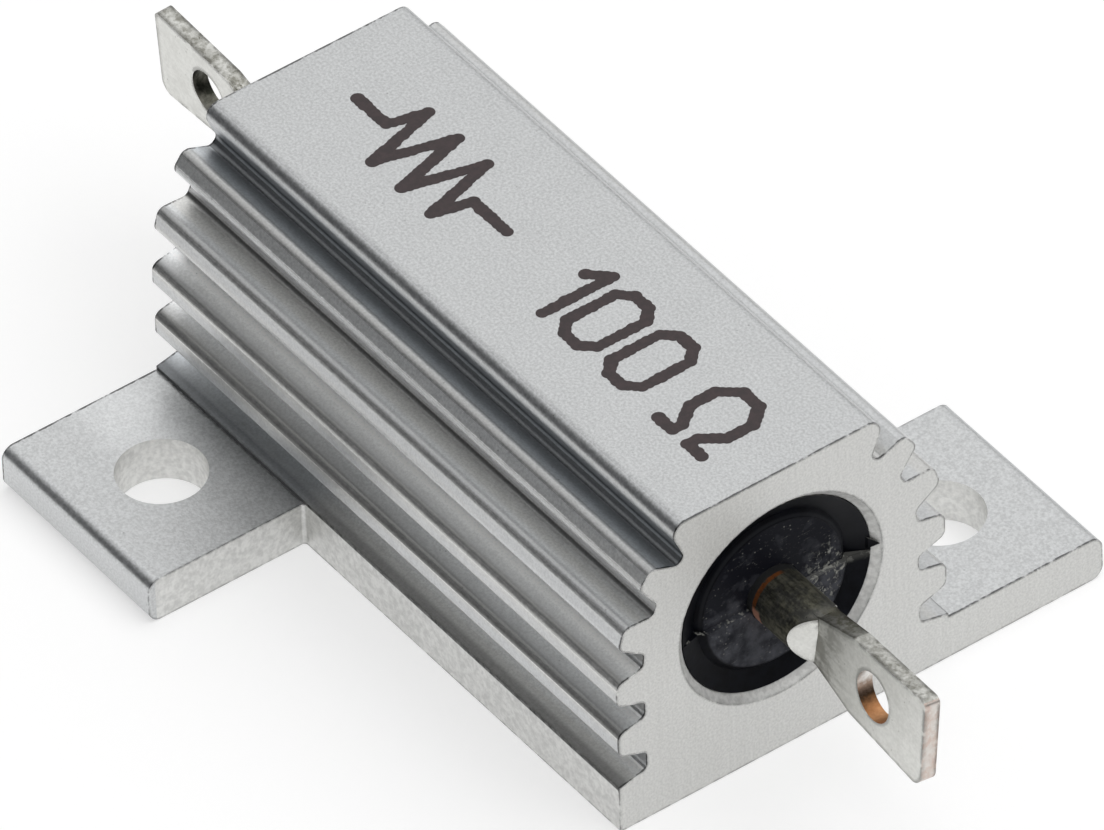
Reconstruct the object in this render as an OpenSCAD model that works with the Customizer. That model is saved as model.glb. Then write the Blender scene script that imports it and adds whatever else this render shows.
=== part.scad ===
// Power resistor, wire-wound, in a finned aluminium housing for screwing to a heat sink.
// X runs along the bore from terminal to terminal, Y across the feet, Z up from the base.

/* [Housing] */
// Length of the sawn extrusion
body_length = 27; // [24:0.5:40]
// Width over the two feet
overall_width = 27.2; // [25:0.1:32]
// Height from the base to the flat top
body_height = 12.6; // [12:0.1:14]
// Height of the bore axis above the base
axis_height = 6.8; // [6.4:0.1:7.4]
// Width of the base between its milled sides
base_width = 14; // [13.8:0.1:16]
// Thickness of the base at the root of the lowest groove
base_thickness = 2.28; // [2.1:0.02:2.5]

/* [Bore] */
// Diameter of the bore
bore_d = 8; // [7:0.1:8.6]
// Chamfer at each mouth of the bore
bore_chamfer = 0.29; // [0.1:0.01:0.5]

/* [Fins] */
// Grooves on each side
groove_count = 5; // [4:1:5]
// Distance of the fin tips from the bore axis
fin_reach = 6.95; // [6.7:0.05:7.2]
// Distance of the groove roots from the bore axis
root_reach = 5.8; // [5.6:0.02:6]
// Width of the highest groove at its root
root_width = 0.4; // [0.4:0.02:0.5]
// Increase of the width at the root from each groove to the one below it
root_growth = 0.09; // [0:0.01:0.1]
// Angle of the highest groove above the level of the bore axis
top_groove_angle = 45; // [43:0.5:48]
// Increase of the pitch from each fin to the one below it
pitch_growth = 0.13; // [0:0.01:0.2]
// Angle of the top's sides above the level
top_side_angle = 68; // [60:1:80]
// Angle between each fin's face and its middle line
fin_taper = 16; // [12:0.5:20]
// Angle by which the fins point up from the middle of their pitch
fin_lift = 3; // [0:0.5:4]
// Radius of the fins' edges
fin_edge_r = 0.36; // [0.1:0.02:0.44]
// Radius in the corners of the grooves
root_edge_r = 0.25; // [0.05:0.01:0.29]
// Radius of the top's long edges
top_edge_r = 0.5; // [0.2:0.05:0.6]

/* [Feet] */
// Thickness of a foot
foot_thickness = 1.85; // [1.5:0.05:1.95]
// Length of a foot along the body
foot_length = 8.7; // [7:0.1:11]
// Radius of a foot's outer edges
foot_edge_r = 0.5; // [0.2:0.05:0.7]
// Radius that the cutter leaves in the corner between a foot and the base
cut_corner_r = 0.15; // [0.1:0.05:1.2]
// Diameter of the screw holes
hole_d = 3.3; // [2.8:0.1:3.8]
// Distance of a screw hole's middle from its foot's outer side
hole_inset = 3.7; // [2.8:0.1:4]

/* [Moulding] */
// Depth of the moulding's rim below the end of the housing
rim_depth = 0.26; // [0.1:0.02:0.5]
// Depth of the trough round the disc below the rim
trough_depth = 0.22; // [0.1:0.02:0.4]
// Width of the slope from the trough up to the disc
trough_slope = 0.24; // [0.1:0.01:0.3]
// Diameter of the disc
disc_d = 5.9; // [5:0.1:6.8]
// Height of the disc above the trough
disc_step = 0.2; // [0.05:0.01:0.3]
// Set-back of the upper mould half's trough and disc against those of the lower one
parting_step = 0.22; // [0.05:0.01:0.4]
// Distance of the parting of the mould below the bore axis
parting_drop = 0.22; // [0:0.02:0.6]

/* [Resistance element] */
// Diameter of the ceramic core
core_d = 4.4; // [3.6:0.1:4.8]
// Distance of the ceramic core's ends from the ends of the housing
core_inset = 3.5; // [3:0.1:5]
// Wall of the end caps
cap_wall = 0.35; // [0.2:0.05:0.5]
// Depth of the core in an end cap
cap_grip = 3; // [2:0.1:4]
// Diameter of the resistance wire
wire_d = 0.36; // [0.2:0.02:0.5]
// Turns of the winding
winding_turns = 12; // [6:1:16]

/* [Terminals] */
// Diameter of the round stem
stem_d = 2.15; // [1.8:0.05:2.6]
// Length of stem that stands out of the housing
stem_length = 1.75; // [1.4:0.05:3]
// Length of the terminal outside the housing
terminal_length = 8.9; // [7.5:0.05:12]
// Width of the flat blade at its end
blade_width = 3.75; // [3.4:0.05:4.6]
// Width of the flat blade where its flare ends
blade_root_width = 3.3; // [2.8:0.05:3.4]
// Thickness of the flat blade
blade_thickness = 0.62; // [0.4:0.02:0.9]
// How much thicker the blade is at its back next to the shoulder
back_rise = 0.25; // [0.1:0.05:0.4]
// Length over which the back thins down to the flat blade
back_run = 2; // [1:0.1:2.4]
// Length over which the blade widens from the stem
flare_length = 2.1; // [1.4:0.1:2.4]
// Radius of the curves at both ends of the flare
flare_r = 1.4; // [0.6:0.1:1.6]
// Radius of the blade's upper corner
tip_upper_r = 0.25; // [0.1:0.05:0.6]
// Radius of the blade's lower corner
tip_lower_r = 0.5; // [0.1:0.05:1.2]
// Diameter of the lug hole
lug_hole_d = 1.9; // [1.4:0.1:2.2]
// Distance of the lug hole from the end of the blade
lug_hole_inset = 3; // [2.4:0.1:3.6]
// How the front blade leans across, droops and swings in degrees
front_set = [-5.3, -0.6, -3.1]; // [-10:0.1:10]
// How the rear blade leans across, droops and swings in degrees
rear_set = [-2.5, 0.6, -0.3]; // [-10:0.1:10]

/* [Fits] */
// Gap between the moulding and the bore
bore_gap = 0.02; // [0.01:0.01:0.05]
// Gap between the moulding and what it encloses
embed_gap = 0.02; // [0.01:0.01:0.05]
// Gap between a cap and the core in it
cap_gap = 0.02; // [0.01:0.01:0.05]
// Gap between the winding and the core under it
winding_gap = 0.02; // [0.01:0.01:0.05]

/* [Hidden] */
$fn = 64;

// How far a cutter runs past the face that it leaves
run_out = 1;
// A fillet's circle is this much larger, so that it crosses the faces it blends
fillet_ease = 1.004;
// Share of a fillet's radius by which its sliver runs past the corner
fillet_overlap = 0.2;
// Sides of the wire's section, and rings of points in each turn of the winding
wire_sides = 8;
rings_per_turn = 20;

half_length = body_length / 2;
// The groove roots lie on an arc round the bore axis above it, and on a straight line below it
root_arc = root_reach * top_groove_angle * PI / 180;
pitch_count = groove_count - 1;
root_drop = axis_height - base_thickness - (root_width + root_growth * pitch_count) / 2;
top_pitch = (root_arc + root_drop) / pitch_count - pitch_growth * (pitch_count - 1) / 2;

core_length = body_length - 2 * core_inset;
cap_inner_r = core_d / 2 + cap_gap;
cap_outer_r = cap_inner_r + cap_wall;
cap_face_x = core_length / 2 + cap_gap + cap_wall;
cap_mouth_x = core_length / 2 - cap_grip;
// The helix has straight steps, which clear the core in the middle of each step
coil_r = (core_d / 2 + winding_gap) / cos(180 / rings_per_turn) + wire_d / 2;
coil_end_x = cap_mouth_x - winding_gap - wire_d / 2;
hollow_r = max(cap_outer_r, coil_r + wire_d / 2) + embed_gap;
stem_r = stem_d / 2;
shoulder_x = half_length + stem_length;
blade_face = blade_thickness / 2;
blade_reach = terminal_length - stem_length;
// The shoulder slopes at 45 degrees, and this is how far past its middle it meets the face of the blade
neck_x = stem_r - blade_face;

function unit(v) = v / norm(v);
function at_angle(a) = [cos(a), sin(a)];

// Direction square to the root line at a distance below the highest groove
function root_normal(s) = s < root_arc ? top_groove_angle * (1 - s / root_arc) : 0;
function root_point(s) = [0, axis_height]
    + (s < root_arc ? root_reach * at_angle(root_normal(s)) : [root_reach, root_arc - s]);

// Distances down the root line of a groove, and of the middle of the fin above it
function groove_place(i) = i * top_pitch + pitch_growth * i * (i - 1) / 2;
function fin_place(i) = (groove_place(i - 1) + groove_place(i)) / 2;

// Directions of the groove's two faces, which are the flanks of the fins above and below it
function upper_flank(i) = at_angle(
    i == 0 ? top_side_angle : root_normal(fin_place(i)) + fin_lift + fin_taper);
function lower_flank(i) = at_angle(root_normal(fin_place(i + 1)) + fin_lift - fin_taper);
function root_edge(i, side) = root_point(groove_place(i))
    + side * (root_width + root_growth * i) / 2 * at_angle(root_normal(groove_place(i)) + 90);

// Where a flank meets the line of the fin tips: an arc above the bore axis, straight below it
function tip_on_arc(p, d) = let (q = p - [0, axis_height], b = q * d)
    p + d * (sqrt(b * b - q * q + fin_reach * fin_reach) - b);
function tip_on_side(p, d) = p + d * (fin_reach - p[0]) / d[0];
function fin_tip(p, d) = tip_on_side(p, d)[1] < axis_height ? tip_on_side(p, d) : tip_on_arc(p, d);

// Right half of the extrusion's outline, upwards, each point with the radius of its corner
function foot_points() = [
    [overall_width / 2, 0, foot_edge_r],
    [overall_width / 2, foot_thickness, foot_edge_r],
    [base_width / 2, foot_thickness, 0]];
function base_point() = let (p = root_edge(groove_count - 1, -1), d = lower_flank(groove_count - 1))
    [base_width / 2, p[1] + d[1] / d[0] * (base_width / 2 - p[0]), 0];
function groove_points(i) = let (low = root_edge(i, -1), high = root_edge(i, 1)) concat(
    i == groove_count - 1 ? [base_point()] : [concat(fin_tip(low, lower_flank(i)), fin_edge_r)],
    [concat(low, root_edge_r), concat(high, root_edge_r)],
    i == 0 ? [top_point()] : [concat(fin_tip(high, upper_flank(i)), fin_edge_r)]);
function top_point() = let (p = root_edge(0, 1), d = upper_flank(0))
    [p[0] + d[0] / d[1] * (body_height - p[1]), body_height, top_edge_r];
function half_outline() = concat(foot_points(), [for (i = [groove_count - 1:-1:0]) each groove_points(i)]);
function mirrored(points) = [for (i = [len(points) - 1:-1:0]) [-points[i][0], points[i][1], points[i][2]]];

// The sliver between a corner and its fillet, taken a little past the corner
module corner_sliver(before, corner, after, r) {
    u = unit(before - corner);
    v = unit(after - corner);
    half_angle = acos(u * v) / 2;
    tangent = r / tan(half_angle);
    centre = corner + unit(u + v) * r / sin(half_angle);
    past_corner = corner - unit(u + v) * r * fillet_overlap;
    past_u = centre + (corner + u * tangent - centre) * (1 + fillet_overlap);
    past_v = centre + (corner + v * tangent - centre) * (1 + fillet_overlap);
    difference() {
        polygon([centre, past_u, past_corner, past_v]);
        translate(centre) circle(r * fillet_ease);
    }
}

// A polygon with true arcs at its corners; its points run anticlockwise
module rounded_outline(points) {
    n = len(points);
    flat = [for (p = points) [p[0], p[1]]];
    turn = [for (i = [0:n - 1]) let (a = flat[i] - flat[(i + n - 1) % n], b = flat[(i + 1) % n] - flat[i])
        a[0] * b[1] - a[1] * b[0]];
    difference() {
        union() {
            polygon(flat);
            for (i = [0:n - 1])
                if (points[i][2] > 0 && turn[i] < 0)
                    corner_sliver(flat[(i + 1) % n], flat[i], flat[(i + n - 1) % n], points[i][2]);
        }
        for (i = [0:n - 1])
            if (points[i][2] > 0 && turn[i] > 0)
                corner_sliver(flat[(i + n - 1) % n], flat[i], flat[(i + 1) % n], points[i][2]);
    }
}

// Turns a shape made round Z to lie along the bore axis
module along_bore() {
    translate([0, 0, axis_height]) rotate([0, 90, 0]) children();
}

module both_ends() {
    children();
    rotate([0, 0, 180]) children();
}

// The corner of the base flange that is milled away beside a foot, seen from above
module flange_cut() {
    inner = base_width / 2;
    outer = overall_width / 2 + run_out;
    translate([0, 0, -run_out]) linear_extrude(base_thickness + run_out)
        rounded_outline([
            [foot_length - half_length, -inner, cut_corner_r],
            [foot_length - half_length, -outer, 0],
            [half_length + run_out, -outer, 0],
            [half_length + run_out, -inner, 0]]);
}

module bore_mouth() {
    along_bore() translate([0, 0, half_length - bore_chamfer])
        cylinder(h = bore_chamfer + run_out, r1 = bore_d / 2, r2 = bore_d / 2 + bore_chamfer + run_out);
}

module screw_hole() {
    translate([half_length - foot_length / 2, overall_width / 2 - hole_inset, -run_out])
        cylinder(h = foot_thickness + 2 * run_out, d = hole_d);
}

module housing() {
    outline = half_outline();
    color("silver") difference() {
        rotate([90, 0, 90]) linear_extrude(body_length, center = true)
            rounded_outline(concat(outline, mirrored(outline)));
        along_bore() cylinder(h = body_length + 2 * run_out, d = bore_d, center = true);
        both_ends() {
            bore_mouth();
            screw_hole();
            flange_cut();
        }
    }
}

// One end of the moulding: from its rim down a cone to the trough, then up to the disc
module dished_end(set_back) {
    rim_x = half_length - rim_depth;
    trough_x = rim_x - trough_depth - set_back;
    disc_x = trough_x + disc_step;
    rotate_extrude() polygon([
        [0, 0],
        [bore_d / 2 - bore_gap, 0],
        [bore_d / 2 - bore_gap, rim_x],
        [disc_d / 2 + trough_slope, trough_x],
        [disc_d / 2, disc_x],
        [0, disc_x]]);
}

// The space of the lower mould half, with the bore axis upright
module lower_mould() {
    translate([parting_drop, -bore_d, 0]) cube([bore_d, 2 * bore_d, body_length]);
}

// The hollow that the resistance element and the stem fill in one half of the moulding
module element_hollow() {
    cylinder(h = cap_face_x + embed_gap, r = hollow_r);
    cylinder(h = half_length + run_out, r = stem_r + embed_gap);
}

module moulding() {
    color("#23252b") difference() {
        both_ends() along_bore() {
            dished_end(parting_step);
            intersection() {
                dished_end(0);
                lower_mould();
            }
        }
        both_ends() along_bore() element_hollow();
    }
}

module ceramic_core() {
    color("ivory") along_bore() cylinder(h = core_length, d = core_d, center = true);
}

// One ring of points round the wire, at a place along the helix from 0 to 1
function coil_ring(f) = let (a = 360 * winding_turns * f, x = coil_end_x * (2 * f - 1))
    [for (k = [0:wire_sides - 1]) let (b = 360 * k / wire_sides, r = coil_r + wire_d / 2 * cos(b))
        [r * cos(a), r * sin(a), x + wire_d / 2 * sin(b)]];

module resistance_winding() {
    rings = winding_turns * rings_per_turn;
    side_faces = [for (i = [0:rings - 1], k = [0:wire_sides - 1])
        let (a = i * wire_sides, b = a + wire_sides, n = (k + 1) % wire_sides) [a + k, b + k, b + n, a + n]];
    first_end = [for (k = [0:wire_sides - 1]) k];
    last_end = [for (k = [wire_sides - 1:-1:0]) rings * wire_sides + k];
    color("dimgray") along_bore() polyhedron(
        points = [for (i = [0:rings]) each coil_ring(i / rings)],
        faces = concat([first_end, last_end], side_faces));
}

// A cup pressed on the end of the core
module end_cap() {
    color("tan") along_bore() difference() {
        translate([0, 0, cap_mouth_x]) cylinder(h = cap_face_x - cap_mouth_x, r = cap_outer_r);
        translate([0, 0, cap_mouth_x - run_out]) cylinder(h = cap_grip + cap_gap + run_out, r = cap_inner_r);
    }
}

module front_end_cap() {
    end_cap();
}

module rear_end_cap() {
    rotate([0, 0, 180]) end_cap();
}

// The stem, cut down from both sides by slopes that meet the faces of the blade
module stem() {
    intersection() {
        along_bore() translate([0, 0, cap_face_x]) cylinder(h = shoulder_x + neck_x - cap_face_x, r = stem_r);
        linear_extrude(axis_height + stem_d) polygon([
            [0, -stem_d],
            [shoulder_x - neck_x, -stem_r - neck_x],
            [shoulder_x + neck_x, -blade_face],
            [shoulder_x + neck_x, blade_face],
            [shoulder_x - neck_x, stem_r + neck_x],
            [0, stem_d]]);
    }
}

// The blade seen from its side, from the middle of the shoulder outwards
module blade_outline() {
    neck = sqrt(stem_r * stem_r - blade_face * blade_face);
    difference() {
        rounded_outline([
            [0, -neck, 0],
            [neck_x, -neck, flare_r],
            [neck_x + flare_length, -blade_root_width / 2, flare_r],
            [blade_reach, -blade_width / 2, tip_lower_r],
            [blade_reach, blade_width / 2, tip_upper_r],
            [neck_x + flare_length, blade_root_width / 2, flare_r],
            [neck_x, neck, flare_r],
            [0, neck, 0]]);
        translate([blade_reach - lug_hole_inset, 0]) circle(d = lug_hole_d);
    }
}

// What the press leaves of the blade, seen from above: a flat front, and a back that thins outwards
module pressed_plan() {
    polygon([
        [-run_out, -blade_face - run_out],
        [blade_reach + run_out, -blade_face - run_out],
        [blade_reach + run_out, blade_face],
        [neck_x + back_run, blade_face],
        [neck_x - back_rise, blade_face + back_rise],
        [neck_x - back_rise, 0],
        [-run_out, 0]]);
}

module blade() {
    depth = blade_thickness + back_rise + run_out;
    intersection() {
        rotate([90, 0, 0]) translate([0, 0, blade_face - depth]) linear_extrude(depth) blade_outline();
        translate([0, 0, -blade_width]) linear_extrude(2 * blade_width) pressed_plan();
    }
}

// A terminal whose blade has been bent a little: lean across, droop and swing
module terminal(set) {
    color("gainsboro") {
        stem();
        translate([shoulder_x, 0, axis_height])
            rotate([0, 0, set[2]]) rotate([0, set[1], 0]) rotate([set[0], 0, 0]) blade();
    }
}

module front_terminal() {
    terminal(front_set);
}

module rear_terminal() {
    rotate([0, 0, 180]) terminal(rear_set);
}

housing();
moulding();
ceramic_core();
resistance_winding();
front_end_cap();
rear_end_cap();
front_terminal();
rear_terminal();
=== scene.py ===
import math
import random

import bmesh
import bpy
from mathutils import Matrix, Vector


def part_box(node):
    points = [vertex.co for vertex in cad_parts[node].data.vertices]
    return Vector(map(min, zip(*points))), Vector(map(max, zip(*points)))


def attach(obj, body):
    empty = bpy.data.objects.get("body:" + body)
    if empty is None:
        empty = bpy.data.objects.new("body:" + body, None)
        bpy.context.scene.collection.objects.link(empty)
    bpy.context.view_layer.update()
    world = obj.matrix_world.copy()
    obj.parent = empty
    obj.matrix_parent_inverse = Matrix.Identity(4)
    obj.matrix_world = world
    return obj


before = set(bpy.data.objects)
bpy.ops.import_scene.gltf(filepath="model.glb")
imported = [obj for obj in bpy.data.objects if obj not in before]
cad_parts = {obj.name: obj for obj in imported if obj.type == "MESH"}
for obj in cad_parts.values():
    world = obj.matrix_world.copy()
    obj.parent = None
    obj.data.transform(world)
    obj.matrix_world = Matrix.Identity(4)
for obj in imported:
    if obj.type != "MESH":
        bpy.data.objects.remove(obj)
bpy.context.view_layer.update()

housing_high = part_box("housing")[1]
moulding_low, moulding_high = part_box("moulding")

# Sizes that the finishes follow, in millimetres
MM = 0.001
HALF_LENGTH = housing_high.x / MM
TOP = housing_high.z / MM
FOOT_SIDE = housing_high.y / MM
AXIS_HEIGHT = (moulding_high.z + moulding_low.z) / 2 / MM
BORE_R = (moulding_high.z - moulding_low.z) / 2 / MM
BASE_SIDE = 7.0
FOOT_LENGTH = 8.7
FOOT_TOP = 1.85
BASE_TOP = 2.35
HOLE_R = 1.65
HOLE_INSET = 3.7
HOLE_X = HALF_LENGTH - FOOT_LENGTH / 2
HOLE_Y = FOOT_SIDE - HOLE_INSET
SHOULDER_X = 15.25
BLADE_END_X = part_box("front_terminal")[1].x / MM
LUG_HOLE_X = 19.4
LUG_HOLE_R = 0.95
ROOT_REACH = 5.8
FIN_REACH = 6.95
FINS_FROM_Y = 3.7
HIGHEST_GROOVE_Z = 10.0
SECOND_ROOT_Z = 9.22
UPPER_FINS_Z = 8.2
LOWEST_FIN_TOP = 4.7
NOSE_LOW = 11.4
NOSE_HIGH = 12.05
CHAMFER_X = HALF_LENGTH - 0.32
CHAMFER_R = BORE_R + 0.36
BURR_AND_SHADE_WIDTH = 0.13
DISC_R = 2.95
TORN_Y = 2.3
TORN_HEIGHT = -0.35
CREEP_X = HALF_LENGTH - 0.2

# Worn edges and the depth of each relief, in millimetres
EDGE_SAMPLES = 4
HOUSING_EDGE = 0.16
TERMINAL_EDGE = 0.34
HOUSING_RELIEF = 0.0035
COMPOUND_RELIEF = 0.012
TERMINAL_RELIEF = 0.012
HIDDEN_RELIEF = 0.01
INK_RELIEF = 0.006

# Colours of the housing
SILVER = (0.532, 0.540, 0.543)
WARM_SILVER = (0.541, 0.540, 0.528)
# Bluish tint for painted shade on the left
PAINTED_SHADE_SILVER = (0.515, 0.537, 0.557)
BARE_METAL = (0.69, 0.69, 0.675)
# Dark lines of burr and of painted shade along the edges
BURR_AND_EDGE_SHADE = (0.06, 0.06, 0.06)

# Colours of the compound
RING_DARK = (0.0016, 0.0018, 0.0028)
RING_PALE = (0.0050, 0.0057, 0.0085)
# Painted highlight on the ring
RING_PAINTED_SHEEN = (0.030, 0.031, 0.035)
DISC_DARK = (0.0085, 0.0092, 0.0135)
DISC_PALE = (0.0850, 0.0880, 0.1010)
# Dust, and painted light on the parting ledge
DUST_AND_LEDGE_LIGHT = (0.38, 0.38, 0.35)

# Colours of the terminals
TIN_DULL = (0.67, 0.67, 0.64)
TIN_BRIGHT = (0.765, 0.765, 0.735)
TARNISH = (0.17, 0.165, 0.135)
STEM_DARK = (0.010, 0.010, 0.0075)
STEM_PALE = (0.160, 0.156, 0.122)
COPPER_DARK = (0.30, 0.105, 0.035)
COPPER_PINK = (0.62, 0.33, 0.24)
COMPOUND_FILM = (0.010, 0.0105, 0.011)
SHEARED_END = (0.60, 0.475, 0.415)
HOLE_STAIN_DARK = (0.035, 0.036, 0.028)
HOLE_STAIN_PALE = (0.17, 0.165, 0.14)
# Colours across the front hole's wall, from its lower side to its upper side
FRONT_HOLE_WALL = [(0.0, (0.66, 0.36, 0.18)), (0.30, (0.34, 0.16, 0.07)), (0.55, (0.06, 0.035, 0.02)),
               (0.74, (0.30, 0.22, 0.17)), (0.9, (0.78, 0.77, 0.74))]
# Dirt and painted shade along the edges
EDGE_DIRT_AND_SHADE = (0.035, 0.033, 0.027)

# Colours of the pieces inside
CERAMIC_PALE = (0.72, 0.66, 0.54)
CERAMIC_DARK = (0.62, 0.56, 0.45)
WIRE_PALE = (0.2, 0.19, 0.18)
WIRE_DARK = (0.13, 0.125, 0.12)
CAP_PALE = (0.42, 0.41, 0.38)
CAP_DARK = (0.33, 0.32, 0.29)

# Colours of the ink and the set
INK_DARK = (0.028, 0.018, 0.019)
INK_PALE = (0.048, 0.031, 0.032)
FLOOR_DARK = (0.61, 0.61, 0.61)
FLOOR_PALE = (0.63, 0.63, 0.63)
CARD_DARK = (0.10, 0.104, 0.111)
BLACK = (0.0, 0.0, 0.0)
WHITE = (1.0, 1.0, 1.0)


class Signal:
    """A shader socket that sums and products can be written with."""

    def __init__(self, finish, socket):
        self.finish = finish
        self.socket = socket

    def math(self, operation, *values):
        return self.finish.node("Math", {"operation": operation}, dict(enumerate(values)))

    def __add__(self, other):
        return self.math("ADD", self, other)

    def __radd__(self, other):
        return self.math("ADD", other, self)

    def __sub__(self, other):
        return self.math("SUBTRACT", self, other)

    def __rsub__(self, other):
        return self.math("SUBTRACT", other, self)

    def __mul__(self, other):
        return self.math("MULTIPLY", self, other)

    def __rmul__(self, other):
        return self.math("MULTIPLY", other, self)

    def __truediv__(self, other):
        return self.math("DIVIDE", self, other)

    def __pow__(self, other):
        return self.math("POWER", self, other)

    def __gt__(self, other):
        return self.math("GREATER_THAN", self, other)

    def __lt__(self, other):
        return self.math("LESS_THAN", self, other)

    def __abs__(self):
        return self.math("ABSOLUTE", self)

    def sqrt(self):
        return self.math("SQRT", self)

    def most(self, other):
        return self.math("MAXIMUM", self, other)

    def least(self, other):
        return self.math("MINIMUM", self, other)

    def rise(self, low, high):
        """0 below low, 1 above high, smooth between."""
        return self.finish.node("MapRange", {"interpolation_type": "SMOOTHSTEP"},
                                {"Value": self, "From Min": low, "From Max": high})

    def fall(self, low, high):
        return 1.0 - self.rise(low, high)


class Finish:
    """The nodes of one finish, or of the world, measured in millimetres on the object."""

    def __init__(self, name, owner=None):
        self.owner = owner or bpy.data.materials.new(name)
        self.owner.use_nodes = True
        self.tree = self.owner.node_tree
        self.tree.nodes.clear()

    def node(self, kind, settings=None, inputs=None, output=None):
        made = self.tree.nodes.new("ShaderNode" + kind)
        for key, value in (settings or {}).items():
            if key == "stops":
                elements = made.color_ramp.elements
                while len(elements) < len(value):
                    elements.new(1.0)
                for element, (position, colour) in zip(elements, value):
                    element.position = position
                    element.color = (*colour, 1.0)
            else:
                setattr(made, key, value)
        for key, value in (inputs or {}).items():
            self.plug(self.pick(made.inputs, key), value)
        return Signal(self, self.pick(made.outputs, output or 0)) if made.outputs else None

    @staticmethod
    def pick(sockets, key):
        shown = [s for s in sockets if s.enabled]
        return shown[key] if isinstance(key, int) else next(s for s in shown if s.name == key)

    def plug(self, socket, value):
        if isinstance(value, Signal):
            self.tree.links.new(value.socket, socket)
        elif socket.type == "RGBA" and len(value) == 3:
            socket.default_value = (*value, 1.0)
        else:
            socket.default_value = value

    def place(self):
        """Where a point of the surface is, in millimetres."""
        return self.scaled(self.node("TexCoord", output="Object"), 1 / MM)

    def facing(self):
        return self.node("NewGeometry", output="Normal")

    def scaled(self, vector, factor):
        if isinstance(factor, (int, float)):
            return self.node("VectorMath", {"operation": "SCALE"}, {"Vector": vector, "Scale": factor})
        return self.node("VectorMath", {"operation": "MULTIPLY"}, {0: vector, 1: factor})

    def parts(self, vector):
        made = self.node("SeparateXYZ", None, {"Vector": vector})
        return [Signal(self, s) for s in made.socket.node.outputs]

    def dot(self, first, second):
        return self.node("VectorMath", {"operation": "DOT_PRODUCT"}, {0: first, 1: second}, "Value")

    def cloud(self, vector, scale, detail=3.0, roughness=0.55, warp=0.0):
        return self.node("TexNoise", None, {"Vector": vector, "Scale": scale, "Detail": detail,
                                            "Roughness": roughness, "Distortion": warp}, "Fac")

    def pits(self, vector, scale):
        return self.node("TexVoronoi", {"feature": "F1"}, {"Vector": vector, "Scale": scale}, "Distance")

    def blend(self, mask, first, second):
        return self.node("Mix", {"data_type": "RGBA"}, {"Factor": mask, "A": first, "B": second})

    def tint(self, colour, amount):
        """A colour made lighter or darker by a value."""
        return self.node("Mix", {"data_type": "RGBA", "blend_type": "MULTIPLY"},
                         {"Factor": 1.0, "A": colour, "B": self.grey(amount)})

    def grey(self, value):
        return self.node("CombineColor", None, {"Red": value, "Green": value, "Blue": value})

    def bump(self, height, depth):
        return self.node("Bump", None, {"Height": height, "Distance": depth * MM, "Strength": 1.0})

    def edge(self, radius):
        """How far the normal would turn if the sharp edges were rounded."""
        rounded = self.node("Bevel", {"samples": EDGE_SAMPLES}, {"Radius": radius * MM})
        return 1.0 - self.dot(rounded, self.facing())

    def surface(self, **inputs):
        shader = self.node("BsdfPrincipled", None, {k.replace("_", " "): v for k, v in inputs.items()})
        self.node("OutputMaterial", None, {"Surface": shader})
        return self.owner

    def seen_rays(self):
        """1 for rays that show a thing, straight or in metal or glass, and 0 for those that only light."""
        camera = self.node("LightPath", output="Is Camera Ray")
        glossy = self.node("LightPath", output="Is Glossy Ray")
        through = self.node("LightPath", output="Is Transmission Ray")
        return camera.most(glossy).most(through)


def painted_left_fin_light(z, ny, nz, reach, finned, highest):
    """Painted light and shade on the fins of the left: painted shade in the highest groove, along the next
    one's root, on the fins' corners and under the nose, and painted light at the roots of the lower grooves
    and on the fins' outer faces."""
    lower = z.fall(UPPER_FINS_Z - 0.1, UPPER_FINS_Z + 0.1) * finned
    upper = finned - lower
    level = nz > 0.8
    outer = (abs(ny) > 0.8) * (reach > FIN_REACH - 0.3)
    tilt = 0.0 - ny

    at_root = reach.fall(ROOT_REACH + 0.03, ROOT_REACH + 0.11)
    second_root = (z > UPPER_FINS_Z) * z.fall(SECOND_ROOT_Z - 0.04, SECOND_ROOT_Z + 0.04) * at_root
    groove_dark = highest * reach.fall(5.85, 6.3) * (0.64 - (ny > 0.05) * 0.45)
    painted_groove_shade = finned * (groove_dark + second_root * 0.6)

    corner = ((upper * tilt.rise(-0.1, 0.2) * 0.25 + lower * tilt.rise(0.05, 0.25) * 0.33)
              * (nz > 0.75) * reach.rise(FIN_REACH - 0.4, FIN_REACH - 0.22))
    lowest_corner = ((tilt < 0.97) * (z < LOWEST_FIN_TOP) * (z > BASE_TOP) * (reach > FIN_REACH - 0.3)
                     * (nz.rise(0.2, 0.3) * 0.5 - nz.rise(0.5, 0.75) * 0.25))
    painted_corner_shade = finned * corner.most(lowest_corner)

    first_floor = highest * reach.rise(6.15, 6.5) * reach.fall(6.6, 6.7) * 0.3
    second_floor = (upper - highest) * reach.rise(5.85, 6.0) * reach.fall(6.55, 6.7) * 0.35
    lower_floor = lower * level * (reach.fall(6.1, 6.6) * 0.75 - reach.rise(6.5, 6.75) * 0.2)
    lower_face = lower * (abs(ny) > 0.97) * outer * ((nz > 0.0) * 0.17 + 0.08)
    upper_face = outer * upper * (0.1 + (nz < -0.1) * 0.12)
    highest_face = outer * highest * (z < 11.3) * ((nz > 0.4) * 0.65 - (nz > 0.0) * 0.15)
    under_fin = upper * (nz < 0.5) * reach.fall(5.82, 5.9) * ((z > SECOND_ROOT_Z) * 0.5 + (z > 9.3) * 0.4)
    painted_paler = (level * (first_floor + second_floor) + lower_floor + lower_face + upper_face + highest_face
             + under_fin)

    nose = (z > NOSE_LOW) * (z < NOSE_HIGH) * (tilt > 0.9)
    return (1.0 - painted_groove_shade) * (1.0 + painted_paler) * (1.0 - painted_corner_shade) * (1.0 - nose * 0.2)


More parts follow.
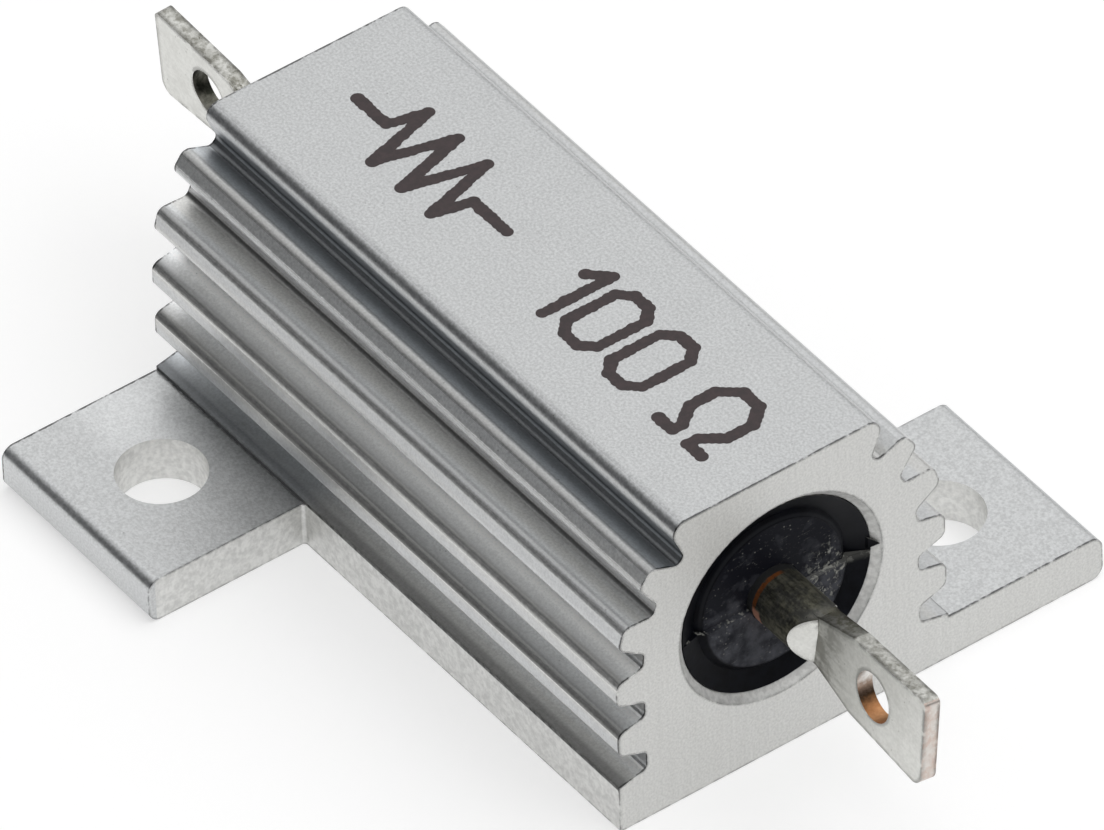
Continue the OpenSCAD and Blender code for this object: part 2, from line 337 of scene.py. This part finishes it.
def anodised_aluminium():
    """Satin silver with drawing streaks along the fins, bare where it was sawn, milled and drilled, with
    painted light and shade on the left-hand side.
    """
    f = Finish("anodised_aluminium")
    p = f.place()
    x, y, z = f.parts(p)
    nx, ny, nz = f.parts(f.facing())
    side_x, side_y = abs(x), abs(y)
    left = y < 0.0
    from_axis = (y ** 2.0 + (z - AXIS_HEIGHT) ** 2.0).sqrt()
    reach = (z > AXIS_HEIGHT) * from_axis + (z < AXIS_HEIGHT) * side_y

    # The part turned half round is the same, so both feet share one hole mask
    turned_x = x * ((y > 0.0) * 2.0 - 1.0)
    hole_away = ((turned_x - HOLE_X) ** 2.0 + (side_y - HOLE_Y) ** 2.0).sqrt()
    in_hole = hole_away.fall(HOLE_R + 0.02, HOLE_R + 0.08)
    foot_end = HALF_LENGTH - FOOT_LENGTH
    by_foot = turned_x > foot_end
    beside_foot = turned_x.rise(foot_end - 1.2, foot_end + 0.6)

    upright = abs(nz) < 0.5
    sawn = (abs(nx) > 0.85) * (side_x > HALF_LENGTH - 0.05)
    chamfer = (side_x > CHAMFER_X) * (from_axis < CHAMFER_R)
    strip = (side_y > ROOT_REACH) * (side_y < BASE_SIDE + 0.1) * (z > FOOT_TOP) * (z < BASE_TOP)
    step = strip * upright * by_foot
    milled = (upright * (z < BASE_TOP) * (side_y < FOOT_SIDE - 0.3)
              * (1.0 - sawn) * (1.0 - in_hole) * (1.0 - step))
    at_base_side = (side_y > BASE_SIDE - 0.05) * (side_y < BASE_SIDE + 0.05)
    # A painted shade band along the top of the milled side of the base
    painted_rim_shade = milled * at_base_side * z.rise(FOOT_TOP - 0.01, FOOT_TOP + 0.04)
    cut = sawn.most(chamfer).most(milled).most(in_hole * upright)
    finned = (side_y > FINS_FROM_Y) * (z > FOOT_TOP + 0.1) * (z < TOP - 0.3) * (1.0 - sawn)
    highest = z.rise(HIGHEST_GROOVE_Z - 0.1, HIGHEST_GROOVE_Z + 0.1) * finned

    # Painted light and shade that only the left-hand side has
    on_foot = ((z < BASE_TOP) * side_y.rise(7.2, 8.5) * side_y.fall(9.5, 11.5)
               * (1.0 - x.rise(-9.0, -5.0) * 0.7))
    foot_side = (side_y > FOOT_SIDE - 0.1) * upright
    brow = (z > TOP - 0.1) * (nz > 0.94) * side_y.rise(3.75, 4.0)
    strip_painted_shade = strip * beside_foot.most(side_y.rise(6.6, 6.95)) * 0.3

    grain = f.cloud(p, 10.0, 2.0, 0.65).rise(0.28, 0.72)
    mottle = f.cloud(p, 0.7, 2.0)
    specks = f.pits(p, 2.4).fall(0.05, 0.11) * f.cloud(p, 1.1, 1.0).rise(0.5, 0.62)
    streaks = f.cloud(f.scaled(p, (0.035, 9.0, 9.0)), 1.0, 2.0, 0.6)
    wide_streaks = f.cloud(f.scaled(p, (0.012, 2.2, 2.2)), 1.0, 2.0, 0.5)
    saw_marks = f.cloud(f.scaled(p, (1.0, 11.0, 0.22)), 1.0, 1.0, 0.6)
    tooth_marks = f.cloud(p, 4.5, 2.0, 0.6).rise(0.28, 0.72)

    # Dark ragged lines of burr where the saw and the cutter came out, and of painted shade along the sharp
    # edges
    ragged = f.cloud(p, 2.2, 3.0, 0.7)
    burr = (side_x > HALF_LENGTH - BURR_AND_SHADE_WIDTH * ragged) * (1.0 - sawn) * (1.0 - chamfer)
    edge = f.edge(HOUSING_EDGE).rise(0.03, 0.12) * hole_away.rise(HOLE_R + 0.2, HOLE_R + 0.3)
    edge_line = edge.most(burr) * ragged.rise(0.34, 0.56)

    left_painted_light = left * (on_foot * 0.2 + foot_side * 0.12 - brow * 0.16)
    # The feet are painted a little lighter
    shade = (0.83 + finned * 0.02 + (z < FOOT_TOP + 0.05) * 0.04 + grain * (0.30 - finned * 0.08)
             + mottle * 0.08 - specks * 0.3 + left_painted_light)
    fin_shade = shade - finned * (0.06 - wide_streaks * 0.12 - streaks * 0.12)
    # Painted light and shade on the fins of the left, and painted shade on the strip beside the foot and
    # its step
    left_fin_painted_light = painted_left_fin_light(z, ny, nz, reach, finned, highest) * (1.0 - strip_painted_shade) * (1.0 - step * 0.8)
    fin_shade = fin_shade * (1.0 + left * (left_fin_painted_light - 1.0))
    cut_shade = (0.86 + (saw_marks * 0.09 + grain * 0.18) * sawn + tooth_marks * (1.0 - sawn) * 0.24
                 + in_hole * 0.09 - chamfer * 0.05 - sawn * 0.01 - painted_rim_shade * 0.85)
    warmth = finned * f.cloud(f.scaled(p, (0.01, 0.9, 0.9)), 1.0, 2.0).rise(0.42, 0.6)
    # A bluish tint painted into the shade of the highest groove and of the strip beside the foot, on the
    # left only
    painted_cool_shade = left * (highest * reach.fall(6.4, 6.8) + strip * beside_foot)
    silver = f.blend(painted_cool_shade, f.blend(warmth, SILVER, WARM_SILVER), PAINTED_SHADE_SILVER)
    colour = f.blend(cut, f.tint(silver, fin_shade), f.tint(BARE_METAL, cut_shade))
    colour = f.blend(edge_line * 0.85, colour, BURR_AND_EDGE_SHADE)

    roughness = 0.35 + grain * 0.06 + cut * 0.06 + sawn * 0.12 + chamfer * 0.15 + streaks * finned * 0.06
    relief = grain * 0.5 + streaks * finned * 1.5 + saw_marks * sawn + tooth_marks * upright * 1.2
    return f.surface(Base_Color=colour, Metallic=1.0, Roughness=roughness,
                     Normal=f.bump(relief, HOUSING_RELIEF))


def black_compound():
    """Smooth and black on the ring, scuffed and dusty on the disc, torn pale along the parting ledge,
    with painted light on the ledge, a painted highlight on the ring and the disc's edge and painted shadow
    on the upper disc.
    """
    f = Finish("black_compound")
    p = f.place()
    x, y, z = f.parts(p)
    nz = f.parts(f.facing())[2]
    height = z - AXIS_HEIGHT
    # Each end is the other turned half round
    across = y * ((x > 0.0) * 2.0 - 1.0)
    away = (y ** 2.0 + height ** 2.0).sqrt()
    on_disc = away.fall(DISC_R - 0.1, DISC_R + 0.05)
    mottle = f.cloud(p, 1.6, 4.0, 0.6)
    dust = f.pits(p, 5.0).fall(0.06, 0.22) * f.cloud(p, 1.3, 2.0).rise(0.47, 0.6)
    scratches = f.cloud(f.scaled(p, (1.0, 2.4, 7.0)), 1.5, 5.0, 0.7, 0.4).rise(0.6, 0.7)
    flakes = f.cloud(p, 3.4, 5.0, 0.75, 0.3).rise(0.53, 0.62)
    torn = ((across - TORN_Y) ** 2.0 + ((height - TORN_HEIGHT) * 0.8) ** 2.0).sqrt().fall(0.4, 1.3)
    at_end = abs(x) > HALF_LENGTH - 1.0
    wedge = (across > DISC_R) * height.rise(-0.62, -0.3) * height.fall(-0.25, -0.2)
    # Pale on the parting ledge: torn flakes, and painted light where the ledge faces up and on the wedge
    # beside it
    ledge = at_end * ((nz > 0.7) * (flakes + (across > 0.0) * 0.35) + wedge * (flakes * 0.6 + 0.22))
    pale = ((dust * 0.55 + scratches * 0.25 + torn * flakes) * on_disc + ledge * 0.7).least(1.0)
    ring = f.blend(mottle.rise(0.3, 0.7), RING_DARK, RING_PALE)
    # A painted highlight on the ring's upper right, and a painted highlight along the upper half of the
    # disc's edge
    painted_sheen = across.rise(0.8, 3.2) * height.rise(-0.2, 0.8)
    painted_lip_highlight = away.rise(DISC_R, DISC_R + 0.05) * away.fall(DISC_R + 0.08, DISC_R + 0.16)
    painted_lip_highlight = painted_lip_highlight * height.rise(-0.5, 0.5)
    ring = f.blend((painted_sheen * 0.6 + painted_lip_highlight * 0.5).least(1.0), ring, RING_PAINTED_SHEEN)
    # The disc is painted darker towards the top: painted shadow of the ring
    disc = f.blend(mottle.rise(0.25, 0.7) - height.rise(-0.9, 1.3) * 0.75, DISC_DARK, DISC_PALE)
    colour = f.blend(pale, f.blend(on_disc, ring, disc), DUST_AND_LEDGE_LIGHT)
    roughness = 0.30 + mottle * 0.14 + on_disc * 0.10 + pale * 0.3
    relief = mottle * 0.6 + f.cloud(p, 9.0, 3.0) * 0.25 + pale * 1.2
    return f.surface(Base_Color=colour, Roughness=roughness, Specular_IOR_Level=0.04,
                     Normal=f.bump(relief, COMPOUND_RELIEF))


def tinned_copper():
    """Bright tin on the blades, dull and stained on the stems, copper where it was cut or worn, dirt and
    painted shade along the edges.
    """
    f = Finish("tinned_copper")
    p = f.place()
    x, y, z = f.parts(p)
    nx, ny, nz = f.parts(f.facing())
    out = abs(x)
    front = x > 0.0
    across = y * (front * 2.0 - 1.0)
    height = z - AXIS_HEIGHT
    blotch = f.cloud(p, 1.5, 5.0, 0.68, 0.3)
    fine = f.cloud(p, 6.5, 4.0, 0.65)
    drag = f.cloud(f.scaled(p, (0.6, 5.0, 5.0)), 1.0, 4.0, 0.65)
    specks = f.pits(p, 3.6).fall(0.07, 0.16) * f.cloud(p, 1.4).rise(0.45, 0.6)

    along = out + (blotch - 0.5) * 1.2
    stem = (abs(nz) > 0.7) * along.fall(SHOULDER_X - 0.2, SHOULDER_X + 2.2)
    stem = stem.most(out.fall(SHOULDER_X + 0.1, SHOULDER_X + 0.9))
    slope = (abs(ny) > 0.6) * (abs(ny) < 0.8) * (abs(nx) > 0.6)
    on_stem = stem * (1.0 - slope) * (1.0 - (abs(ny) > 0.9) * (out > SHOULDER_X + 0.6))
    near_shoulder = out.fall(SHOULDER_X + 0.3, SHOULDER_X + 3.4)
    edge_band = (abs(nz) > 0.7) * out.rise(SHOULDER_X + 0.3, SHOULDER_X + 1.2)
    pitted = f.cloud(p, 3.6, 5.0, 0.75).rise(0.42, 0.6)
    end_face = (abs(nx) > 0.6) * (out > BLADE_END_X - 0.8)
    hole_away = ((out - LUG_HOLE_X) ** 2.0 + height ** 2.0).sqrt()
    in_hole = hole_away.fall(LUG_HOLE_R + 0.03, LUG_HOLE_R + 0.1) * (abs(ny) < 0.5)

    tin = f.blend(fine.rise(0.3, 0.7), TIN_DULL, TIN_BRIGHT)
    grime = (blotch + drag * 0.5 - 0.25).rise(0.4, 0.62)
    edge_grime = edge_band * (0.2 + 0.5 * pitted + 0.3 * blotch.rise(0.42, 0.6)) * 0.75
    tarnish = (near_shoulder * (0.22 + grime * 0.5) + edge_grime + grime * 0.08 + specks * 0.4).least(1.0)
    colour = f.blend(tarnish * (1.0 - slope), tin, TARNISH)
    patchy = (blotch * 0.6 + drag * 0.4 + (fine - 0.5) * 0.3).rise(0.38, 0.62)
    dull = f.blend(patchy, STEM_DARK, STEM_PALE)
    colour = f.blend(on_stem * (0.9 + 0.1 * blotch.rise(0.35, 0.6)), colour, dull)

    # The compound creeps up the stem, and past it the plating is worn to the copper in two places
    creep = out + (blotch - 0.5) * 0.12
    film = creep.fall(CREEP_X - 0.03, CREEP_X + 0.03)
    upper_side = (height - across).rise(0.75, 1.1)
    lower_side = (0.0 - height - across).rise(0.92, 1.08)
    crescent = creep.fall(CREEP_X + 0.13, CREEP_X + 0.20) * upper_side * fine.rise(0.3, 0.5)
    patch = creep.fall(CREEP_X + 0.34, CREEP_X + 0.44) * lower_side
    colour = f.blend(crescent, colour, COPPER_DARK)
    colour = f.blend(patch, colour, COPPER_PINK)
    colour = f.blend(film, colour, COMPOUND_FILM)

    colour = f.blend(end_face * (0.3 + 0.6 * blotch.rise(0.4, 0.6)), colour, SHEARED_END)
    # Across the front hole's wall the colour runs from copper at the lower side through near black to pale
    # at the upper side; the rear hole is stained
    around = height * 0.75 - (out - LUG_HOLE_X) * 0.65
    copper = f.node("ValToRGB", {"stops": FRONT_HOLE_WALL},
                    {"Fac": around / (2 * LUG_HOLE_R) + 0.5 + (fine - 0.5) * 0.25})
    stained = f.blend(blotch.rise(0.35, 0.65), HOLE_STAIN_DARK, HOLE_STAIN_PALE)
    colour = f.blend(in_hole, colour, f.blend(front, stained, copper))
    # Dirt along the edges, with painted shade there, heavier on the upper edges
    worn = f.edge(TERMINAL_EDGE) * (0.5 + 0.5 * (height > 0.6))
    edge_line = worn.rise(0.03, 0.11) * f.cloud(p, 1.7, 4.0).rise(0.34, 0.5) * (1.0 - in_hole)
    colour = f.blend(edge_line * 0.85, colour, EDGE_DIRT_AND_SHADE)

    roughness = 0.30 + tarnish * 0.18 + on_stem * 0.14 + fine * 0.1
    relief = blotch * 0.9 + fine * 0.35 + drag * 0.3 - specks * 0.6
    return f.surface(Base_Color=colour, Metallic=1.0 - film * 0.95, Roughness=roughness,
                     Normal=f.bump(relief, TERMINAL_RELIEF))


def hidden_finish(name, pale, dark, metallic, roughness, grain):
    """Finish of a piece inside the moulding."""
    f = Finish(name)
    p = f.place()
    cloud = f.cloud(p, grain, 4.0, 0.6)
    colour = f.blend(cloud.rise(0.3, 0.7), dark, pale)
    return f.surface(Base_Color=colour, Metallic=metallic, Roughness=roughness + cloud * 0.15,
                     Normal=f.bump(cloud, HIDDEN_RELIEF))


def marking_ink():
    """Dark ink, a little worn."""
    f = Finish("marking_ink")
    p = f.place()
    worn = f.cloud(p, 3.5, 4.0, 0.7)
    colour = f.blend(worn.rise(0.35, 0.7), INK_DARK, INK_PALE)
    return f.surface(Base_Color=colour, Roughness=0.5 + worn * 0.2, Normal=f.bump(worn, INK_RELIEF))


def dress(node, material):
    """Give a CAD node its finish."""
    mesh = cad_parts[node].data
    mesh.materials.clear()
    mesh.materials.append(material)


def piece(name, verts, faces, material):
    """A new piece, in millimetres, that stays with the housing."""
    mesh = bpy.data.meshes.new(name)
    mesh.from_pydata([Vector(v) * MM for v in verts], [], faces)
    mesh.validate()
    bm = bmesh.new()
    bm.from_mesh(mesh)
    bmesh.ops.recalc_face_normals(bm, faces=bm.faces)
    bm.to_mesh(mesh)
    bm.free()
    mesh.materials.append(material)
    made = bpy.data.objects.new(name, mesh)
    bpy.context.scene.collection.objects.link(made)
    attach(made, "root")


# Corners of a spike of flash, from the housing's end and the bore's axis: its foot, then its tip
FLASH_CORNERS = [(-0.40, 3.80, -0.12), (-0.23, 3.86, -0.08), (-0.23, 3.86, 0.38), (-0.40, 3.80, 0.44),
                 (-0.005, 4.22, 0.12)]
FLASH_FACES = [(0, 1, 2, 3), (0, 1, 4), (1, 2, 4), (2, 3, 4), (3, 0, 4)]


def mould_flash(name, end, material):
    """A spike of compound that ran out over the mouth of the bore where the mould parts."""
    verts = [((HALF_LENGTH + dx) * end, y * end, AXIS_HEIGHT + dz) for dx, y, dz in FLASH_CORNERS]
    piece(name, verts, FLASH_FACES, material)


# The marking: a plain resistor symbol and a plain value, printed in ink dots
DOT_PITCH = 0.24
DOT_R = 0.25
DOT_WANDER = 0.015
DOT_SIZES = (0.9, 1.08)
DOT_SEED = 5
INK_CELL = 0.05
INK_LEAST = 1e-4
INK_UNDER = 0.004
INK_OVER = 0.008
LEAD_IN_X = -10.6
LEAD_OUT_X = -1.9
FIRST_TOOTH_X = -8.5
TOOTH_PITCH = 0.85
TOOTH_HEIGHT = 1.5
TOOTH_RUN = 0.4
TEETH = 6
VALUE_X = 1.2
GLYPH_HEIGHT = 3.0
VALUE = (("1", 1.75), ("0", 2.55), ("0", 3.3), ("ohm", 0.0))
GLYPHS = {
    "1": [[(0.1, 0.78), (0.32, 1.0), (0.32, 0.0)]],
    "0": [[(0.16, 0.0), (0.0, 0.16), (0.0, 0.84), (0.16, 1.0), (0.42, 1.0), (0.58, 0.84), (0.58, 0.16),
           (0.42, 0.0), (0.16, 0.0)]],
    "ohm": [[(0.0, 0.0), (0.26, 0.0), (0.26, 0.14), (0.06, 0.4), (0.06, 0.76), (0.26, 1.0), (0.56, 1.0),
             (0.76, 0.76), (0.76, 0.4), (0.56, 0.14), (0.56, 0.0), (0.82, 0.0)]],
}


def marking_strokes():
    """Lines of the marking in the plane of the top, in millimetres."""
    zigzag = [(LEAD_IN_X, 0.0), (FIRST_TOOTH_X - TOOTH_RUN, 0.0)]
    for k in range(TEETH):
        zigzag.append((FIRST_TOOTH_X + TOOTH_PITCH * k, TOOTH_HEIGHT if k % 2 == 0 else -TOOTH_HEIGHT))
    zigzag += [(FIRST_TOOTH_X + TOOTH_PITCH * (TEETH - 1) + TOOTH_RUN, 0.0), (LEAD_OUT_X, 0.0)]
    strokes = [zigzag]
    x = VALUE_X
    for glyph, advance in VALUE:
        for line in GLYPHS[glyph]:
            strokes.append([(x + u * GLYPH_HEIGHT, (v - 0.5) * GLYPH_HEIGHT) for u, v in line])
        x += advance
    return strokes


def ink_dots(strokes):
    """Round dots along the strokes, a little uneven in place and size."""
    rng = random.Random(DOT_SEED)
    dots = []
    for line in strokes:
        for (ax, ay), (bx, by) in zip(line, line[1:]):
            count = max(1, round(math.hypot(bx - ax, by - ay) / DOT_PITCH))
            for k in range(count + 1):
                t = k / count
                x = ax + (bx - ax) * t + rng.uniform(-DOT_WANDER, DOT_WANDER)
                y = ay + (by - ay) * t + rng.uniform(-DOT_WANDER, DOT_WANDER)
                dots.append((x, y, DOT_R * rng.uniform(*DOT_SIZES)))
    return dots


def ink_field(dots):
    """How far each grid point is inside the ink, for the grid points near a dot."""
    field = {}
    for dx, dy, r in dots:
        near = r + 3 * INK_CELL
        for i in range(math.floor((dx - near) / INK_CELL), math.ceil((dx + near) / INK_CELL) + 1):
            for j in range(math.floor((dy - near) / INK_CELL), math.ceil((dy + near) / INK_CELL) + 1):
                depth = r - math.hypot(i * INK_CELL - dx, j * INK_CELL - dy)
                field[i, j] = max(depth, field.get((i, j), -1.0))
    return {point: depth if abs(depth) > INK_LEAST else INK_LEAST for point, depth in field.items()}


def printed_marking():
    """Thin ink with smooth edges: the cells of the grid are cut where the field crosses zero."""
    field = ink_field(ink_dots(marking_strokes()))
    verts, index, faces = [], {}, []

    def vertex(first, second, over):
        key = (min(first, second), max(first, second), over)
        if key not in index:
            a, b = field[key[0]], field.get(key[1], -1.0)
            t = a / (a - b) if key[0] != key[1] else 0.0
            x, y = (key[0][n] + (key[1][n] - key[0][n]) * t for n in (0, 1))
            index[key] = len(verts)
            verts.append((x * INK_CELL, y * INK_CELL, TOP + (INK_OVER if over else -INK_UNDER)))
        return index[key]

    for i, j in sorted(field):
        ring = [(i, j), (i + 1, j), (i + 1, j + 1), (i, j + 1)]
        if any(c not in field for c in ring):
            continue
        outline = []
        for a, b in zip(ring, ring[1:] + ring[:1]):
            if field[a] > 0.0:
                outline.append((a, a))
            if (field[a] > 0.0) != (field[b] > 0.0):
                outline.append((a, b))
        if len(outline) < 3:
            continue
        faces.append([vertex(*c, True) for c in outline])
        faces.append([vertex(*c, False) for c in reversed(outline)])
        for c, d in zip(outline, outline[1:] + outline[:1]):
            if c[0] != c[1] and d[0] != d[1] and field[c[0]] > 0.0:
                faces.append([vertex(*c, False), vertex(*d, False), vertex(*d, True), vertex(*c, True)])
    piece("printed_marking", verts, faces, marking_ink())


# Floor, light and camera
CAMERA_AZIMUTH = 55.304
CAMERA_ELEVATION = 42.702
CAMERA_ROLL = -2.442
CAMERA_DISTANCE = 755.281
FOCAL_PIXELS = 21907.98
PHOTO_WIDTH = 1104
AIM_RIGHT = 0.0153
AIM_UP = 4.0132
SENSOR = 36.0

FILL_LEVEL = 0.45
FLOOR_GLOW = 0.475
FLOOR_REACH = 4.0
FLOOR_DROP = 0.00002
LAMP_PLACE = (0.12, 0.16, 0.60)
LAMP_SIZE = 0.7
LAMP_RADIANCE = 1.6
LAMP_BACK_GAP = 0.001
CARD_RADIUS = 0.6
CARD_STEPS = 72
FLOOR_CARD_REACH = 0.058
FLOOR_CARD_HEIGHT = 0.0005

# Where the cards stand, in degrees from +X, and how high each reaches, in degrees over the floor
TALL_CARD = (192.0, 262.0)
FLOOR_CARD = (195.0, 260.0)
LOW_CARD = (95.0, 170.0)
TALL_SPAN = (0.1, 45.0)
LOW_SPAN = (1.0, 9.0)
ROUND_SPAN = (1.0, 20.0)


def photo_camera():
    """The camera that was solved from the photo, aimed a little above the middle of the base."""
    azimuth, elevation, roll = map(math.radians, (CAMERA_AZIMUTH, CAMERA_ELEVATION, CAMERA_ROLL))
    back = Vector((math.cos(elevation) * math.sin(azimuth), -math.cos(elevation) * math.cos(azimuth),
                   math.sin(elevation)))
    level = Vector((math.cos(azimuth), math.sin(azimuth), 0.0))
    lift = back.cross(level)
    right = level * math.cos(roll) + lift * math.sin(roll)
    up = lift * math.cos(roll) - level * math.sin(roll)
    place = (right * AIM_RIGHT + up * AIM_UP + back * CAMERA_DISTANCE) * MM
    data = bpy.data.cameras.new("photo_camera")
    data.sensor_width = SENSOR
    data.lens = FOCAL_PIXELS * SENSOR / PHOTO_WIDTH
    camera = bpy.data.objects.new("photo_camera", data)
    camera.matrix_world = Matrix((
        (right.x, up.x, back.x, place.x),
        (right.y, up.y, back.y, place.y),
        (right.z, up.z, back.z, place.z),
        (0.0, 0.0, 0.0, 1.0)))
    bpy.context.scene.collection.objects.link(camera)
    bpy.context.scene.camera = camera


def studio_world():
    """White behind the object and in its reflections, a softer level as fill light."""
    world = bpy.data.worlds.new("studio_world")
    bpy.context.scene.world = world
    world.cycles.sampling_method = "NONE"
    f = Finish("studio_world", world)
    level = f.seen_rays() * (1.0 - FILL_LEVEL) + FILL_LEVEL
    background = f.node("Background", None, {"Color": WHITE, "Strength": level})
    f.node("OutputWorld", None, {"Surface": background})


def board(name, verts, faces, material):
    """A flat thing of the set, such as the floor or a card."""
    mesh = bpy.data.meshes.new(name)
    mesh.from_pydata(verts, [], faces)
    mesh.materials.append(material)
    made = bpy.data.objects.new(name, mesh)
    bpy.context.scene.collection.objects.link(made)
    return made


def square(half, height):
    """Corners of a level square, from half its side."""
    return [(-half, -half, height), (half, -half, height), (half, half, height), (-half, half, height)]


def seen_in_metal_only(thing):
    thing.visible_camera = False
    thing.visible_diffuse = False
    thing.visible_shadow = False
    thing.visible_transmission = False


def softbox(name, place, size, radiance):
    """A square lamp that looks at the object, with an opaque back."""
    data = bpy.data.lights.new(name, "AREA")
    data.shape = "SQUARE"
    data.size = size
    data.energy = radiance * math.pi * size * size
    lamp = bpy.data.objects.new(name, data)
    lamp.location = place
    lamp.rotation_euler = (-Vector(place)).to_track_quat("-Z", "Y").to_euler()
    lamp.visible_camera = False
    bpy.context.scene.collection.objects.link(lamp)
    black = Finish("softbox_back").surface(Base_Color=BLACK, Specular_IOR_Level=0.0)
    back = board(name + "_back", square(size / 2, LAMP_BACK_GAP), [(0, 1, 2, 3)], black)
    back.location = lamp.location
    back.rotation_euler = lamp.rotation_euler
    seen_in_metal_only(back)


def plain_floor():
    """A pale floor that looks nearly white and keeps the object's soft shadow."""
    f = Finish("pale_floor")
    cloud = f.cloud(f.place(), 0.02, 2.0)
    colour = f.blend(cloud, FLOOR_DARK, FLOOR_PALE)
    material = f.surface(Base_Color=colour, Roughness=0.8, Specular_IOR_Level=0.1,
                         Emission_Color=f.grey(f.seen_rays() * FLOOR_GLOW), Emission_Strength=1.0)
    floor = board("floor", square(FLOOR_REACH, 0), [(0, 1, 2, 3)], material)
    floor.location.z = -FLOOR_DROP


def horizon_cards():
    """Dark cards round the set, seen in the metal only: tall on the left, with one on the floor there."""
    material = Finish("dark_card").surface(Base_Color=CARD_DARK, Roughness=0.9, Specular_IOR_Level=0.1)
    verts, faces = [], []
    for k in range(CARD_STEPS):
        degrees = 360.0 * k / CARD_STEPS
        tall = TALL_CARD[0] <= degrees <= TALL_CARD[1]
        low = LOW_CARD[0] <= degrees <= LOW_CARD[1]
        aside = Vector((math.cos(math.radians(degrees)), math.sin(math.radians(degrees)), 0.0))
        for rise in TALL_SPAN if tall else LOW_SPAN if low else ROUND_SPAN:
            height = CARD_RADIUS * math.tan(math.radians(rise))
            verts.append(aside * CARD_RADIUS + Vector((0.0, 0.0, height)))
        inner = FLOOR_CARD_REACH if tall else CARD_RADIUS
        verts.append(aside * inner + Vector((0.0, 0.0, FLOOR_CARD_HEIGHT)))
        n = (k + 1) % CARD_STEPS
        faces.append((3 * k, 3 * k + 1, 3 * n + 1, 3 * n))
        if FLOOR_CARD[0] <= degrees < FLOOR_CARD[1]:
            faces.append((3 * k, 3 * n, 3 * n + 2, 3 * k + 2))
    cards = board("horizon_cards", verts, faces, material)
    seen_in_metal_only(cards)


bpy.context.scene.view_settings.view_transform = "Standard"
photo_camera()
studio_world()
plain_floor()
horizon_cards()
softbox("overhead_softbox", LAMP_PLACE, LAMP_SIZE, LAMP_RADIANCE)

dress("housing", anodised_aluminium())
compound = black_compound()
dress("moulding", compound)
mould_flash("front_flash", 1, compound)
mould_flash("rear_flash", -1, compound)
terminal_finish = tinned_copper()
dress("front_terminal", terminal_finish)
dress("rear_terminal", terminal_finish)
dress("ceramic_core", hidden_finish("ceramic", CERAMIC_PALE, CERAMIC_DARK, 0.0, 0.6, 3.0))
dress("resistance_winding", hidden_finish("resistance_wire", WIRE_PALE, WIRE_DARK, 1.0, 0.3, 5.0))
cap_finish = hidden_finish("plated_steel", CAP_PALE, CAP_DARK, 1.0, 0.3, 2.0)
dress("front_end_cap", cap_finish)
dress("rear_end_cap", cap_finish)
printed_marking()
